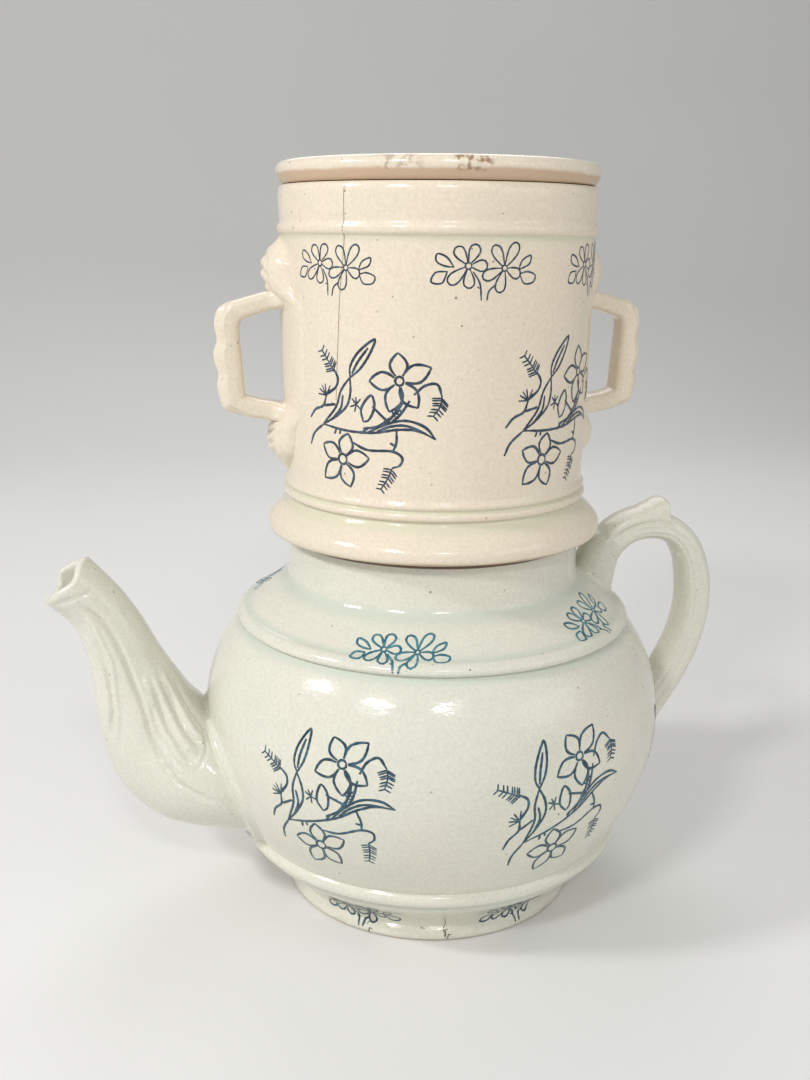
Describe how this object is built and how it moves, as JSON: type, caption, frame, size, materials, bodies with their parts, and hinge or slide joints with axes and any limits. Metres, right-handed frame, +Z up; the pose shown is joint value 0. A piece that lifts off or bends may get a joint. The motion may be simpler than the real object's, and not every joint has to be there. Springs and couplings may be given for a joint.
{
  "type": "drip coffee pot",
  "caption": "Glazed earthenware drip coffee pot: round pot with curved spout and ear handle, two-handled cylindrical filter vessel on its neck, spreader dish and flat lid.",
  "frame": {"origin": "on the pot's turning axis, level with the standing ring of the foot; the recessed underside lies 1.5 mm above it", "axes": "+Z up along the pot's turning axis, -X towards the spout, +X towards the pot's handle"},
  "size_m": [0.2654, 0.179, 0.2832],
  "materials": {
    "pot_glaze": "clear lead glaze over cream earthenware, cool white with fine specks",
    "vessel_glaze": "clear lead glaze over cream earthenware, warm ivory with fine specks",
    "inner_glaze": "thin clear glaze over cream earthenware"
  },
  "bodies": {
    "pot": {"pot_foot": "pot_glaze", "pot_belly_lower": "pot_glaze", "pot_belly_upper": "pot_glaze", "pot_neck": "pot_glaze", "pot_spout_root": "pot_glaze", "pot_spout": "pot_glaze", "pot_handle": "pot_glaze", "pot_thumb_rest": "pot_glaze"},
    "filter": {"filter_flange": "vessel_glaze", "filter_vessel": "vessel_glaze", "filter_strainer": "inner_glaze", "filter_handle_left": "vessel_glaze", "filter_handle_right": "vessel_glaze", "filter_leaf_upper_left": "vessel_glaze", "filter_leaf_lower_left": "vessel_glaze", "filter_leaf_upper_right": "vessel_glaze", "filter_leaf_lower_right": "vessel_glaze"},
    "spreader": {"spreader_dish": "inner_glaze", "spreader_knob": "inner_glaze"},
    "lid": {"lid_disc": "vessel_glaze", "lid_knob": "vessel_glaze"}
  },
  "joints": [
    {"name": "filter_lift", "type": "slide", "parent": "pot", "child": "filter", "axis": [0, 0, 1], "range_m": [0, 0.06]},
    {"name": "spreader_lift", "type": "slide", "parent": "filter", "child": "spreader", "axis": [0, 0, 1], "range_m": [0, 0.05]},
    {"name": "lid_lift", "type": "slide", "parent": "spreader", "child": "lid", "axis": [0, 0, 1], "range_m": [0, 0.04]}
  ]
}
